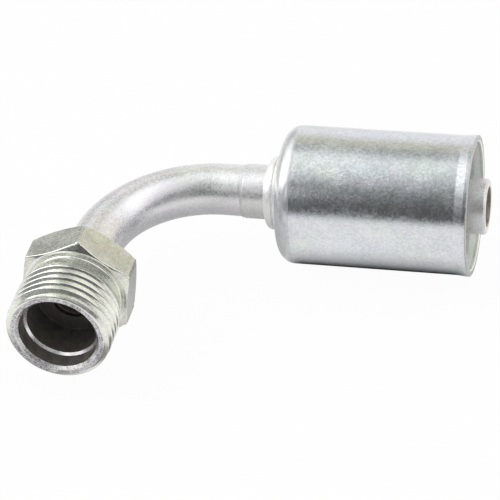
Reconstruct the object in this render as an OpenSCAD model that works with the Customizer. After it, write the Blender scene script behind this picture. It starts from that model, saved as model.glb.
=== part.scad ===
// Ninety-degree crimp-on hose end with a male swivel nut.
//
// The origin is the centre of the stop that the mating pilot bottoms on,
// inside the seat sleeve. The nut axis is Y and its mouth faces -Y. The hose
// axis is parallel to X and its open end faces +X. Lengths are millimetres.

/* [Thread] */
// Outside diameter over the thread crests
thread_d = 18.95; // [17:0.05:22]
// Distance from one thread crest to the next
thread_pitch = 1.5875; // [1:0.0125:2]
// Length of the lead-in chamfer at the mouth, measured along the axis
thread_lead_in = 0.95; // [0.4:0.05:1.4]
// Width of the plain undercut between the thread and the hexagon
relief_w = 3.05; // [1.6:0.05:4]
// Depth of the undercut below the bottom of the thread
relief_depth = 0.12; // [0.05:0.01:0.25]
// Where round the nut axis the thread begins, in degrees
thread_start = 80; // [0:5:355]

/* [Swivel nut] */
// Hexagon size across its flats
nut_af = 19.05; // [18.6:0.05:24]
// Length of the hexagon along its axis, with both chamfers
hex_len = 6.65; // [5:0.05:9]
// Slope of the front chamfer, measured from the end face
front_chamfer_angle = 33; // [20:1:40]
// Radial depth of the chamfer on the rear corners
rear_chamfer = 1.4; // [0.2:0.05:1.45]
// Slope of the rear chamfer, measured from the end face
rear_chamfer_angle = 30; // [15:1:40]
// Diameter of the bore that turns round the seat sleeve
nut_bore_d = 14.1; // [13.9:0.02:14.6]
// Radial width of the chamfer inside the mouth
mouth_chamfer = 0.52; // [0.2:0.02:0.7]
// Thickness of the rear wall that pulls on the seat sleeve
nut_web = 3.4; // [2:0.1:5]
// Radial gap between the rear wall and the elbow tube
nut_tube_gap = 0.4; // [0.3:0.05:0.8]
// How far the nut can slide along the seat sleeve
nut_float = 0.3; // [0.2:0.05:0.8]
// Turn of the nut about its own axis as it lies at rest, in degrees
nut_turn = 8; // [-30:1:30]

/* [Seat sleeve] */
// Bore that takes the mating pilot
pilot_d = 12.8; // [12:0.02:12.9]
// Depth of the pilot bore below the sleeve's front face
pilot_depth = 7; // [5:0.1:11]
// Distance of the sleeve's front face below the mouth of the nut
sleeve_recess = 3.1; // [1:0.05:4]
// Radial running gap between the sleeve and the nut bore
sleeve_gap = 0.07; // [0.03:0.01:0.1]
// Radial width of the lead-in chamfer at the sleeve's front face
pilot_lead_in = 0.42; // [0.1:0.02:0.46]
// Size of the small chamfer on the outer edge of the sleeve's front face
lip_chamfer = 0.08; // [0.04:0.01:0.12]
// Thickness of the stop between the pilot bore and the tube socket
sleeve_web = 0.9; // [0.6:0.1:2]
// Depth of the socket that the elbow tube is brazed into
socket_depth = 4; // [2.5:0.1:7]

/* [Elbow tube] */
// Outside diameter of the tube
tube_od = 9.525; // [8:0.025:9.8]
// Wall thickness of the tube
tube_wall = 1.1; // [0.9:0.05:1.4]
// Radius of the bend along the middle of the tube
bend_r = 19.65; // [16:0.05:30]
// Bare straight tube between the bend and the back of the nut
nut_standoff = 8.05; // [1:0.05:20]
// Straight tube between the bend and the hose stem
tube_run = 4.05; // [1:0.05:20]

/* [Hose stem] */
// Outside diameter of the neck beside the tube
neck_d = 10.1; // [9.9:0.05:11.5]
// Length of the neck
neck_len = 4.4; // [2:0.1:10]
// Outside diameter of the collar
collar_d = 13.7; // [13:0.1:15]
// Length of the collar along the hose axis
collar_len = 2.8; // [2.8:0.1:6]
// Radius of the collar's rounded shoulder
collar_round = 1.4; // [0.5:0.1:1.6]
// Diameter of the land that the ferrule turns on
seat_d = 11.6; // [11:0.05:12]
// Diameter of the rolled bead that keeps the ferrule on
bead_d = 12.7; // [12.4:0.05:13]
// Length of the rolled bead
bead_len = 1.6; // [1.2:0.1:2.5]
// Outside diameter of the hose tail
tail_d = 10.22; // [9.8:0.02:10.6]
// Bore through the stem
stem_bore_d = 7.3; // [6.4:0.05:7.4]
// Number of barbs on the tail
barb_count = 4; // [2:1:5]
// Distance from one barb to the next
barb_pitch = 5.2; // [4:0.1:5.4]
// Height of each barb above the groove behind it
barb_h = 0.55; // [0.2:0.05:0.7]
// How far the tip of the tail stands out of the ferrule
tail_reach = 2.4; // [0.5:0.1:6]
// Size of the chamfer on the tip
tip_chamfer = 0.35; // [0.1:0.05:0.6]
// Length of the spigot that centres the stem in the tube
spigot_len = 3; // [1.5:0.1:5]

/* [Ferrule] */
// Outside diameter of the ferrule
ferrule_od = 25.6; // [24:0.1:30]
// Wall thickness of the ferrule
ferrule_wall = 1.2; // [0.9:0.05:2]
// Length of the ferrule
ferrule_len = 35.35; // [31:0.05:50]
// Outer radius of its rounded closed end
ferrule_round = 2.9; // [2.2:0.1:5]
// How much wider the open end is, on the radius
flare = 0.15; // [0.05:0.01:0.3]
// Length over which the open end widens, lip included
flare_len = 2.3; // [1.6:0.1:4]
// Radial running gap between the ferrule's end wall and the stem
ferrule_gap = 0.07; // [0.03:0.01:0.1]
// Gap on each side of the ferrule's end wall along the hose axis
ferrule_float = 0.2; // [0.1:0.05:0.5]

/* [Brazing] */
// Width of the brazed seam between the tube and the stem
seam_w = 0.4; // [0.2:0.05:0.8]
// How far the seam stands below the neck, on the radius
seam_sink = 0.1; // [0.05:0.01:0.2]
// Size of the brazing fillet at the back of the seat sleeve
fillet_size = 0.8; // [0.4:0.05:1]

/* [Hidden] */
$fn = 96;
cut = 1;             // how far a cutting shape runs past the face it opens
steps_per_turn = 24; // straight steps in one turn of the thread groove

// Thread form: a sixty-degree groove with narrow flats at crest and bottom
flank_angle = 30;
thread_flat = thread_pitch / 8;
thread_depth = (thread_pitch - 2 * thread_flat) / 2 / tan(flank_angle);
thread_r = thread_d / 2;
root_r = thread_r - thread_depth;
relief_r = root_r - relief_depth;

// Places along the nut axis
face_y = -pilot_depth;
mouth_y = face_y - sleeve_recess;
sleeve_back_y = sleeve_web + socket_depth;
nut_shoulder_y = sleeve_back_y + nut_float;
nut_back_y = nut_shoulder_y + nut_web;
hex_front_y = nut_back_y - hex_len;
thread_end_y = hex_front_y - relief_w;
bend_start_y = nut_back_y + nut_standoff;
hose_y = bend_start_y + bend_r;

// Places along the hose axis
neck_x = bend_r + tube_run;
collar_x = neck_x + neck_len;
seat_x = collar_x + collar_len;
ferrule_x = seat_x + ferrule_float;
bead_x = ferrule_x + ferrule_wall + ferrule_float;
tail_x = bead_x + bead_len;
rim_x = ferrule_x + ferrule_len;
tip_x = rim_x + tail_reach;

// Radii that belong together
tube_r = tube_od / 2;
tube_bore_r = tube_r - tube_wall;
nut_bore_r = nut_bore_d / 2;
sleeve_r = nut_bore_r - sleeve_gap;
pilot_r = pilot_d / 2;
hex_corner_r = nut_af / 2 / cos(30);
seat_r = seat_d / 2;
ferrule_r = ferrule_od / 2;
tail_r = tail_d / 2;
neck_r = neck_d / 2;
collar_r = collar_d / 2;
stem_bore_r = stem_bore_d / 2;
spigot_r = (stem_bore_r + tube_r) / 2;

// Turns a profile drawn as [radius, distance] round the nut axis. The
// distance is the y of the model, so larger values lie nearer the tube.
module turn_on_nut_axis() {
    rotate([-90, 0, 0]) rotate_extrude() children();
}

// Turns a profile drawn as [radius, distance] round the hose axis. The
// distance is the x of the model, so larger values lie nearer the hose.
module turn_on_hose_axis() {
    translate([0, hose_y, 0]) rotate([0, 90, 0]) rotate_extrude() children();
}

// A plain round bore along the nut axis, from one y to another
module nut_axis_bore(r, from_y, to_y) {
    translate([0, from_y, 0]) rotate([-90, 0, 0]) cylinder(r = r, h = to_y - from_y);
}

// Corners of the groove's section at one step of the helix. The section
// runs a little outside the crests, so that the groove opens cleanly.
function groove_section(angle, middle) =
    let (
        open_r = thread_r + 0.1,
        bottom = thread_flat / 2,
        top = bottom + (open_r - root_r) * tan(flank_angle)
    )
    [
        for (corner = [[root_r, -bottom], [open_r, -top], [open_r, top], [root_r, bottom]])
        [corner[0] * cos(angle), corner[0] * sin(angle), middle + corner[1]]
    ];

// The helical groove of a right-hand thread, along Z from z = 0
module thread_groove(length) {
    step_count = ceil(length / thread_pitch * steps_per_turn);
    points = [
        for (step = [0 : step_count])
        each groove_section(step * 360 / steps_per_turn, step * thread_pitch / steps_per_turn)
    ];
    last = 4 * step_count;
    sides = [
        for (step = [0 : step_count - 1], side = [0 : 3])
        let (a = 4 * step + side, b = 4 * step + (side + 1) % 4)
        each [[a, b, b + 4], [a, b + 4, a + 4]]
    ];
    ends = [[2, 1, 0], [3, 2, 0], [last, last + 1, last + 2], [last, last + 2, last + 3]];
    polyhedron(points = points, faces = concat(sides, ends));
}

// Hexagon whose corners are turned off: steeply at the front, less behind
module chamfered_hexagon() {
    front_rise = (hex_corner_r - nut_af / 2) * tan(front_chamfer_angle);
    rear_rise = rear_chamfer * tan(rear_chamfer_angle);
    intersection() {
        translate([0, hex_front_y, 0]) rotate([-90, 30 + nut_turn, 0])
            cylinder(r = hex_corner_r, h = hex_len, $fn = 6);
        turn_on_nut_axis() polygon([
            [0, hex_front_y],
            [nut_af / 2, hex_front_y],
            [hex_corner_r, hex_front_y + front_rise],
            [hex_corner_r + cut, hex_front_y + front_rise],
            [hex_corner_r + cut, nut_back_y - rear_rise],
            [hex_corner_r, nut_back_y - rear_rise],
            [hex_corner_r - rear_chamfer, nut_back_y],
            [0, nut_back_y]
        ]);
    }
}

// Male thread, undercut and hexagon, bored to turn round the seat sleeve
module swivel_nut() {
    lip_r = thread_r - thread_lead_in;
    groove_y = mouth_y - thread_pitch;
    color([0.70, 0.71, 0.64])
    difference() {
        union() {
            chamfered_hexagon();
            turn_on_nut_axis() polygon([
                [0, mouth_y],
                [lip_r, mouth_y],
                [thread_r, mouth_y + thread_lead_in],
                [thread_r, thread_end_y - thread_depth],
                [relief_r, thread_end_y],
                [relief_r, hex_front_y + cut],
                [0, hex_front_y + cut]
            ]);
        }
        translate([0, groove_y, 0]) rotate([-90, thread_start, 0])
            thread_groove(thread_end_y - groove_y);
        nut_axis_bore(nut_bore_r, mouth_y - cut, nut_shoulder_y);
        nut_axis_bore(tube_r + nut_tube_gap, nut_shoulder_y - cut, nut_back_y + cut);
        turn_on_nut_axis() polygon([
            [0, mouth_y - cut],
            [nut_bore_r + mouth_chamfer + cut, mouth_y - cut],
            [nut_bore_r, mouth_y + mouth_chamfer],
            [0, mouth_y + mouth_chamfer]
        ]);
    }
}

// Socket brazed to the end of the tube: it takes the mating pilot in front
// and carries the nut's pull on its rear face
module seat_sleeve() {
    color([0.80, 0.79, 0.76])
    difference() {
        turn_on_nut_axis() polygon([
            [0, face_y],
            [sleeve_r - lip_chamfer, face_y],
            [sleeve_r, face_y + lip_chamfer],
            [sleeve_r, sleeve_back_y],
            [0, sleeve_back_y]
        ]);
        nut_axis_bore(pilot_r, face_y - cut, 0);
        nut_axis_bore(tube_bore_r, -cut, sleeve_back_y);
        nut_axis_bore(tube_r, sleeve_web, sleeve_back_y + cut);
        turn_on_nut_axis() polygon([
            [0, face_y - cut],
            [pilot_r + pilot_lead_in + cut, face_y - cut],
            [pilot_r, face_y + pilot_lead_in],
            [0, face_y + pilot_lead_in]
        ]);
        turn_on_nut_axis() polygon([
            [0, sleeve_back_y - fillet_size],
            [tube_r, sleeve_back_y - fillet_size],
            [tube_r + fillet_size, sleeve_back_y],
            [0, sleeve_back_y]
        ]);
    }
}

// Brazing metal that fills the countersink round the tube
module sleeve_braze() {
    color([0.85, 0.72, 0.45])
    turn_on_nut_axis() polygon([
        [tube_r, sleeve_back_y - fillet_size],
        [tube_r + fillet_size, sleeve_back_y],
        [tube_r, sleeve_back_y]
    ]);
}

// A round rod along the tube's whole path, each end moved out by extra
module elbow_rod(r, extra) {
    start_y = sleeve_web - extra;
    end_x = neck_x - seam_w / 2 + extra;
    nut_axis_bore(r, start_y, bend_start_y);
    translate([bend_r, bend_start_y, 0]) rotate([0, 0, 90])
        rotate_extrude(angle = 90) translate([bend_r, 0]) circle(r = r);
    translate([bend_r, hose_y, 0]) rotate([0, 90, 0]) cylinder(r = r, h = end_x - bend_r);
}

// Bent steel tube: one end sits in the sleeve's socket, the other is opened
// out to take the stem's spigot
module elbow_tube() {
    color([0.78, 0.78, 0.80])
    difference() {
        elbow_rod(tube_r, 0);
        elbow_rod(tube_bore_r, cut);
        translate([neck_x - spigot_len - seam_w, hose_y, 0]) rotate([0, 90, 0])
            cylinder(r = spigot_r, h = spigot_len + seam_w + cut);
    }
}

// Ring of brazing metal between the end of the tube and the neck
module stem_braze() {
    color([0.74, 0.72, 0.68])
    turn_on_hose_axis()
        translate([spigot_r, neck_x - seam_w / 2]) square([neck_r - seam_sink - spigot_r, seam_w]);
}

// Outline of the stem as [radius, distance] areas, before it is bored
module stem_profile() {
    land_x = seat_x + ferrule_wall + 2 * ferrule_float;
    groove_w = 0.12 * collar_len;
    ring_x = seat_x - 0.3 * collar_len;
    barb_x = tail_x + barb_pitch / 4;
    barb_r = tail_r - barb_h;
    barb_flat = 0.3;
    // Spigot inside the tube, then the neck
    translate([0, neck_x - spigot_len]) square([spigot_r, spigot_len + seam_w]);
    translate([0, neck_x + seam_w / 2]) square([neck_r, neck_len]);
    // Collar with a rounded shoulder, a fine groove and a plain ring
    translate([0, collar_x]) square([collar_r - collar_round, collar_len]);
    translate([collar_r - collar_round, collar_x + collar_round]) circle(r = collar_round);
    translate([0, collar_x + collar_round])
        square([collar_r, ring_x - groove_w - collar_x - collar_round]);
    translate([0, ring_x - groove_w]) square([collar_r - groove_w, 2 * groove_w]);
    translate([0, ring_x]) square([collar_r, seat_x - ring_x]);
    // Land for the ferrule and the bead that keeps it there
    translate([0, seat_x]) square([seat_r, land_x - seat_x]);
    translate([0, bead_x]) square([(bead_d - bead_len) / 2, bead_len]);
    translate([(bead_d - bead_len) / 2, bead_x + bead_len / 2]) circle(r = bead_len / 2);
    // Tail with barbs whose steep sides face the collar
    translate([0, bead_x]) square([barb_r, barb_x + barb_count * barb_pitch - bead_x]);
    for (barb = [0 : barb_count - 1])
        translate([0, barb_x + barb * barb_pitch]) polygon([
            [0, 0],
            [tail_r, 0],
            [tail_r, barb_flat],
            [barb_r, 0.6 * barb_pitch],
            [0, 0.6 * barb_pitch]
        ]);
    polygon([
        [0, barb_x + barb_count * barb_pitch],
        [tail_r, barb_x + barb_count * barb_pitch],
        [tail_r, tip_x - tip_chamfer],
        [tail_r - tip_chamfer, tip_x],
        [0, tip_x]
    ]);
}

// Turned stem: spigot, neck, collar, ferrule land and barbed hose tail
module hose_stem() {
    color([0.80, 0.79, 0.78])
    difference() {
        turn_on_hose_axis() stem_profile();
        translate([neck_x - spigot_len - cut, hose_y, 0]) rotate([0, 90, 0])
            cylinder(r = stem_bore_r, h = tip_x - neck_x + spigot_len + 2 * cut);
    }
}

// Outline of a round-ended pot from [0, start_x] to [0, end_x]
module pot_profile(r, round_r, start_x, end_x) {
    translate([0, start_x]) square([r - round_r, end_x - start_x]);
    translate([0, start_x + round_r]) square([r, end_x - start_x - round_r]);
    translate([r - round_r, start_x + round_r]) circle(r = round_r);
}

// The widening of the open end, added to a straight pot of radius r
module flare_profile(r) {
    polygon([
        [r - flare, rim_x - flare_len],
        [r, rim_x - flare_len],
        [r + flare, rim_x - flare_len / 2],
        [r + flare, rim_x],
        [r - flare, rim_x]
    ]);
}

// Drawn steel shell with a rounded closed end that turns on the stem
module ferrule() {
    inner_r = ferrule_r - ferrule_wall;
    inner_round = ferrule_round - ferrule_wall;
    hole_r = seat_r + ferrule_gap;
    color([0.74, 0.76, 0.78])
    difference() {
        turn_on_hose_axis() union() {
            pot_profile(ferrule_r, ferrule_round, ferrule_x, rim_x);
            flare_profile(ferrule_r);
        }
        turn_on_hose_axis() union() {
            pot_profile(inner_r, inner_round, ferrule_x + ferrule_wall, rim_x + cut);
            translate([0, cut / 2]) flare_profile(inner_r);
        }
        translate([ferrule_x - cut, hose_y, 0]) rotate([0, 90, 0])
            cylinder(r = hole_r, h = ferrule_wall + 2 * cut);
    }
}

swivel_nut();
seat_sleeve();
sleeve_braze();
elbow_tube();
stem_braze();
hose_stem();
ferrule();
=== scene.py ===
"""A ninety-degree crimp-on hose end: bent steel tube, male swivel nut and open ferrule."""

import math

import bmesh
import bpy
from mathutils import Matrix, Vector


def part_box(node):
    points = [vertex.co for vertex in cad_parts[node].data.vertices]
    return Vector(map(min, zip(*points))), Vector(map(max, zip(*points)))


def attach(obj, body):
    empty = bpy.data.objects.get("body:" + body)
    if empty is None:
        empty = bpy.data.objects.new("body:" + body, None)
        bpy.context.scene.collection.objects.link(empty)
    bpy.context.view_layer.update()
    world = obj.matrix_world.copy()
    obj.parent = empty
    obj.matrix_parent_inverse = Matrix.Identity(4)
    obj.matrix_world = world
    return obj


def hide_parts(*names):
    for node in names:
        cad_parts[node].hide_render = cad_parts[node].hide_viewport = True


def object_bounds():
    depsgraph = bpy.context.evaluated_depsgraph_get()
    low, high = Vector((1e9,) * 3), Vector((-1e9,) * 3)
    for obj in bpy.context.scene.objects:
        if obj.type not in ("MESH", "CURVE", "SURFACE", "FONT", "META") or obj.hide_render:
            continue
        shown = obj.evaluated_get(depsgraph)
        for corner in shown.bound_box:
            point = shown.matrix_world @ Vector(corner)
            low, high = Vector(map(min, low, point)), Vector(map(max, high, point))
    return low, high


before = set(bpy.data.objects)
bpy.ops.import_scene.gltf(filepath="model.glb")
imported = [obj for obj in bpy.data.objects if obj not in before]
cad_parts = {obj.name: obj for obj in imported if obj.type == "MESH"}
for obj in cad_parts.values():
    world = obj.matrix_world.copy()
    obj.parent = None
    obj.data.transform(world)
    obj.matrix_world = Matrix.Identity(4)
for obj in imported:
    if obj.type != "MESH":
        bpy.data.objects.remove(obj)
cad_box = [list(corner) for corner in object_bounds()]

# ---------------------------------------------------------------------------
# Camera
# A long lens from in front, above and a little to the right, turned slightly
# so that the hose axis runs down to the right.
# ---------------------------------------------------------------------------
PICTURE_PX = 500
SENSOR_MM = 36.0
FOCAL_PX = 2474.0
CAMERA_AZIMUTH = math.radians(15.05)
CAMERA_ELEVATION = math.radians(36.52)
CAMERA_ROLL = math.radians(-5.0)
CAMERA_PLACE = Vector((0.1210, -0.3266, 0.2645))

camera_data = bpy.data.cameras.new("camera")
camera_data.sensor_width = SENSOR_MM
camera_data.lens = FOCAL_PX / PICTURE_PX * SENSOR_MM
camera_data.clip_start = 0.01
camera = bpy.data.objects.new("camera", camera_data)
aim = Vector((
    -math.sin(CAMERA_AZIMUTH) * math.cos(CAMERA_ELEVATION),
    math.cos(CAMERA_AZIMUTH) * math.cos(CAMERA_ELEVATION),
    -math.sin(CAMERA_ELEVATION),
))
upright = aim.to_track_quat("-Z", "Y").to_matrix().to_4x4()
camera.matrix_world = (
    Matrix.Translation(CAMERA_PLACE) @ upright @ Matrix.Rotation(CAMERA_ROLL, 4, "Z")
)
bpy.context.scene.collection.objects.link(camera)
bpy.context.scene.camera = camera
bpy.context.scene.view_settings.view_transform = "Standard"

# ---------------------------------------------------------------------------
# Floor
# A large pale sheet under the fitting that keeps its shadow. Metal alone sees
# painted shade on it: a nearly black painted shadow under the ferrule, lighter
# shade under the tube, beside the nut and behind, and a dark patch at the right.
# ---------------------------------------------------------------------------
MM = 0.001
FLOOR_SIZE = 6.0
FLOOR_COLOUR = (0.70, 0.70, 0.70)
# Painted shadow that only metal sees, close under the ferrule
PAINTED_SHADOW_COLOUR = (0.06, 0.06, 0.06)
SEEN_GLOW = 0.965       # share of plain white that the camera sees
REFLECTED_GLOW = 0.98   # share of plain white that metal reflects, away from the ferrule
FLOOR_LEVEL = 1.08      # how much brighter than plain white the floor is to metal
SHADE_START = 6 * MM    # the shade under the ferrule fades from here to its reach
SHADE_REACH = 22 * MM
SHADE_END = 4 * MM      # and over this length at the ferrule's two ends
CONTACT_START = 4.8 * MM    # the painted shadow right under the ferrule fades in the same way
CONTACT_REACH = 12 * MM
TUBE_SHADE = 0.62       # the lighter shade under the tube
TUBE_SHADE_REACH = 65 * MM
NUT_SHADES = [          # round shades by the nut: place, dark within, gone beyond, strength
    ((-12 * MM, -8 * MM), 8 * MM, 22 * MM, 0.70),
    ((12 * MM, -15 * MM), 6 * MM, 9 * MM, 0.85),
]
RIGHT_PATCH_SHADE = 0.65       # the painted dark patch at the right, and where its left, back and front edges fade in
RIGHT_PATCH_LEFT = (55 * MM, 75 * MM)
RIGHT_PATCH_BACK = (45 * MM, 25 * MM)
RIGHT_PATCH_FRONT = (-90 * MM, -60 * MM)
BACK_SHADE = 0.12       # the shade behind, how much deeper it is by the tube, and where it fades in
TUBE_BACK_SHADE = 0.30
BACK_START = (50 * MM, 90 * MM)


def feed(tree, socket, value):
    """Link the input to an output, or give it a number, vector or colour."""
    if isinstance(value, bpy.types.NodeSocket):
        tree.links.new(value, socket)
    elif socket.type == "RGBA":
        socket.default_value = (*value, 1)
    else:
        socket.default_value = value


def add(tree, kind, inputs=None, **settings):
    """A node of that kind with its settings, and with the values or links of its inputs."""
    node = tree.nodes.new(kind)
    for setting, value in settings.items():
        setattr(node, setting, value)
    for key, value in (inputs or {}).items():
        feed(tree, node.inputs[key], value)
    return node


def arithmetic(tree, operation, *values):
    """The result of one math node, whose inputs are numbers or sockets."""
    return add(tree, "ShaderNodeMath", dict(enumerate(values)), operation=operation).outputs[0]


def product(tree, value, *factors):
    """The value multiplied by each factor in turn."""
    for factor in factors:
        value = arithmetic(tree, "MULTIPLY", value, factor)
    return value


def vector_math(tree, operation, *values):
    """The result of one vector math node, whose inputs are tuples or sockets."""
    node = add(tree, "ShaderNodeVectorMath", dict(enumerate(values)), operation=operation)
    gives_number = operation in ("DISTANCE", "DOT_PRODUCT", "LENGTH")
    return node.outputs["Value" if gives_number else "Vector"]


def mix_colour(tree, factor, first, second, blend="MIX"):
    """The mix of two colours, each a tuple or a socket."""
    inputs = {"Factor": factor, "A": first, "B": second}
    return add(tree, "ShaderNodeMix", inputs, data_type="RGBA", blend_type=blend).outputs["Result"]


def ramp_between(tree, value, start, end):
    """0 where value is below start, 1 above end, and smooth between them."""
    inputs = {"Value": value, "From Min": start, "From Max": end}
    return add(tree, "ShaderNodeMapRange", inputs, interpolation_type="SMOOTHSTEP").outputs[0]


def empty_tree(owner):
    """The owner's node tree with nothing in it."""
    owner.use_nodes = True
    owner.node_tree.nodes.clear()
    return owner.node_tree


ferrule_low, ferrule_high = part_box("ferrule")
hose_axis_y = (ferrule_low.y + ferrule_high.y) / 2
floor_mesh = bpy.data.meshes.new("floor")
half = FLOOR_SIZE / 2
floor_corners = [(-half, -half, 0), (half, -half, 0), (half, half, 0), (-half, half, 0)]
floor_mesh.from_pydata(floor_corners, [], [(0, 1, 2, 3)])
floor = bpy.data.objects.new("floor", floor_mesh)
floor.location.z = cad_box[0][2]
bpy.context.scene.collection.objects.link(floor)

floor_paint = bpy.data.materials.new("floor")
tree = empty_tree(floor_paint)
place = add(tree, "ShaderNodeNewGeometry").outputs["Position"]
split = add(tree, "ShaderNodeSeparateXYZ", {"Vector": place})
aside = arithmetic(tree, "ABSOLUTE", arithmetic(tree, "SUBTRACT", split.outputs["Y"], hose_axis_y))
past_start = ramp_between(tree, split.outputs["X"], ferrule_low.x - SHADE_END, ferrule_low.x + SHADE_END)
before_end = ramp_between(tree, split.outputs["X"], ferrule_high.x + SHADE_END, ferrule_high.x - SHADE_END)
under = product(tree, past_start, before_end)
shaded = product(tree, under, ramp_between(tree, aside, SHADE_REACH, SHADE_START))
near = product(tree, ramp_between(tree, aside, TUBE_SHADE_REACH, 0.0), TUBE_SHADE,
               arithmetic(tree, "SUBTRACT", 1.0, past_start))
for (shade_x, shade_y), start, reach, strength in NUT_SHADES:
    apart = vector_math(tree, "DISTANCE", place, (shade_x, shade_y, cad_box[0][2]))
    patch = product(tree, ramp_between(tree, apart, reach, start), strength)
    near = arithmetic(tree, "MAXIMUM", near, patch)
# A patch of painted shade at the right, seen only in metal.
right_patch_shade = product(tree, ramp_between(tree, split.outputs["X"], *RIGHT_PATCH_LEFT), RIGHT_PATCH_SHADE,
               ramp_between(tree, split.outputs["Y"], *RIGHT_PATCH_BACK),
               ramp_between(tree, split.outputs["Y"], *RIGHT_PATCH_FRONT))
depth = arithmetic(tree, "MULTIPLY_ADD", past_start, -TUBE_BACK_SHADE, BACK_SHADE + TUBE_BACK_SHADE)
behind = product(tree, ramp_between(tree, split.outputs["Y"], *BACK_START), depth)
for patch in (near, right_patch_shade, behind):
    shaded = arithmetic(tree, "MAXIMUM", shaded, patch)
ray = add(tree, "ShaderNodeLightPath")
glossy = ray.outputs["Is Glossy Ray"]
seen = product(tree, ray.outputs["Is Camera Ray"], SEEN_GLOW)
shine = product(tree, glossy, REFLECTED_GLOW, arithmetic(tree, "SUBTRACT", 1.0, shaded))
glow = arithmetic(tree, "MAXIMUM", seen, shine)
painted_shadow = product(tree, under, ramp_between(tree, aside, CONTACT_REACH, CONTACT_START))
painted_shadow = product(tree, arithmetic(tree, "MAXIMUM", painted_shadow, near), glossy)
lit = add(tree, "ShaderNodeBsdfDiffuse", {"Color": mix_colour(tree, painted_shadow, FLOOR_COLOUR, PAINTED_SHADOW_COLOUR)})
level = arithmetic(tree, "MULTIPLY_ADD", glossy, FLOOR_LEVEL - 1.0, 1.0)
white = add(tree, "ShaderNodeEmission", {"Strength": level})
blend = add(tree, "ShaderNodeMixShader", {0: glow, 1: lit.outputs[0], 2: white.outputs[0]})
add(tree, "ShaderNodeOutputMaterial", {"Surface": blend.outputs[0]})
floor_mesh.materials.append(floor_paint)

# ---------------------------------------------------------------------------
# Studio light
# A plain pale room with large soft boxes at the left and above the right, a
# grey ceiling between them, a warm shelf behind and a dark opening in front.
# A weak lamp stands far left, and a tiny one before the nut's mouth.
# ---------------------------------------------------------------------------
ROOM_LEVEL = 1.25
LEFT_EDGE = (-0.22, -0.37)  # the walls fade into each other over these sideways directions
RIGHT_EDGE = (0.0, 0.42)
ROOM_LEFT = [               # degrees from straight up towards the front, and colour
    (-90, (0.52, 0.52, 0.52)),
    (-74, (0.38, 0.39, 0.37)),
    (-58, (0.60, 0.60, 0.58)),
    (-46, (1.15, 1.15, 1.14)),
    (-30, (1.35, 1.35, 1.35)),
    (-16, (1.70, 1.70, 1.70)),
    (14, (1.70, 1.70, 1.70)),
    (28, (1.30, 1.30, 1.30)),
    (38, (0.80, 0.80, 0.80)),
    (48, (0.32, 0.32, 0.33)),
    (64, (0.26, 0.27, 0.28)),
    (87, (0.22, 0.23, 0.24)),
    (89, (0.86, 0.89, 0.92)),
]
ROOM_MIDDLE = [
    (-90, (0.88, 0.88, 0.92)),
    (-72, (0.85, 0.85, 0.88)),
    (-63, (0.80, 0.80, 0.77)),
    (-55, (0.63, 0.62, 0.53)),
    (-46, (0.59, 0.58, 0.49)),
    (-38, (0.42, 0.44, 0.40)),
    (-31, (0.33, 0.36, 0.35)),
    (-22, (0.60, 0.63, 0.63)),
    (-13, (0.80, 0.83, 0.82)),
    (0, (0.75, 0.79, 0.78)),
    (14, (0.58, 0.61, 0.61)),
    (26, (0.41, 0.43, 0.43)),
    (37, (0.25, 0.26, 0.27)),
    (48, (0.15, 0.16, 0.16)),
    (60, (0.12, 0.12, 0.12)),
    (87, (0.09, 0.09, 0.09)),
    (89, (0.84, 0.90, 0.92)),
]
ROOM_RIGHT = [
    (-90, (0.82, 0.80, 0.75)),
    (-66, (0.80, 0.75, 0.63)),
    (-57, (0.80, 0.76, 0.68)),
    (-46, (0.78, 0.77, 0.73)),
    (-34, (0.92, 0.92, 0.91)),
    (-24, (1.42, 1.42, 1.42)),
    (-10, (1.45, 1.45, 1.45)),
    (0, (1.02, 1.02, 1.02)),
    (12, (0.93, 0.93, 0.93)),
    (22, (0.82, 0.82, 0.82)),
    (40, (0.52, 0.52, 0.53)),
    (52, (0.20, 0.20, 0.20)),
    (87, (0.12, 0.12, 0.12)),
    (89, (0.72, 0.74, 0.76)),
]

room = bpy.data.worlds.new("room")
bpy.context.scene.world = room
tree = empty_tree(room)
direction = add(tree, "ShaderNodeTexCoord").outputs["Generated"]
split = add(tree, "ShaderNodeSeparateXYZ", {"Vector": direction})
tilt = arithmetic(tree, "ARCTAN2", product(tree, split.outputs["Y"], -1), split.outputs["Z"])
scale = add(tree, "ShaderNodeMapRange", {"Value": tilt, "From Min": -math.pi / 2, "From Max": math.pi / 2})


def colour_ramp(tree, value, stops):
    """The colour at that value, between stops of (position, colour)."""
    ramp = add(tree, "ShaderNodeValToRGB", {"Fac": value})
    elements = ramp.color_ramp.elements
    elements.remove(elements[-1])
    for index, (position, colour) in enumerate(stops):
        element = elements[0] if index == 0 else elements.new(position)
        element.position = position
        element.color = (*colour, 1)
    return ramp.outputs["Color"]


def room_column(stops):
    """The room's colour from behind over the top to the front, for one column of directions."""
    return colour_ramp(tree, scale.outputs[0], [((degrees + 90) / 180, colour) for degrees, colour in stops])


walls = room_column(ROOM_MIDDLE)
for edge, stops in ((LEFT_EDGE, ROOM_LEFT), (RIGHT_EDGE, ROOM_RIGHT)):
    walls = mix_colour(tree, ramp_between(tree, split.outputs["X"], *edge), walls, room_column(stops))
ray = add(tree, "ShaderNodeLightPath")
walls = mix_colour(tree, ray.outputs["Is Camera Ray"], walls, (1, 1, 1))
light = add(tree, "ShaderNodeBackground", {"Strength": ROOM_LEVEL, "Color": walls})
add(tree, "ShaderNodeOutputWorld", {"Surface": light.outputs[0]})

LAMPS = [               # name, watts, width, place
    ("key", 1.5, 0.6, (-0.75, -0.15, 0.65)),
    ("mouth_fill", 0.008, 0.05, (-0.036, -0.108, 0.108)),
]
for name, watts, width, place in LAMPS:
    lamp_data = bpy.data.lights.new(name, "AREA")
    lamp_data.energy = watts
    lamp_data.size = width
    lamp = bpy.data.objects.new(name, lamp_data)
    lamp.location = place
    lamp.rotation_euler = (-lamp.location).to_track_quat("-Z", "Y").to_euler()
    bpy.context.scene.collection.objects.link(lamp)

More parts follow.
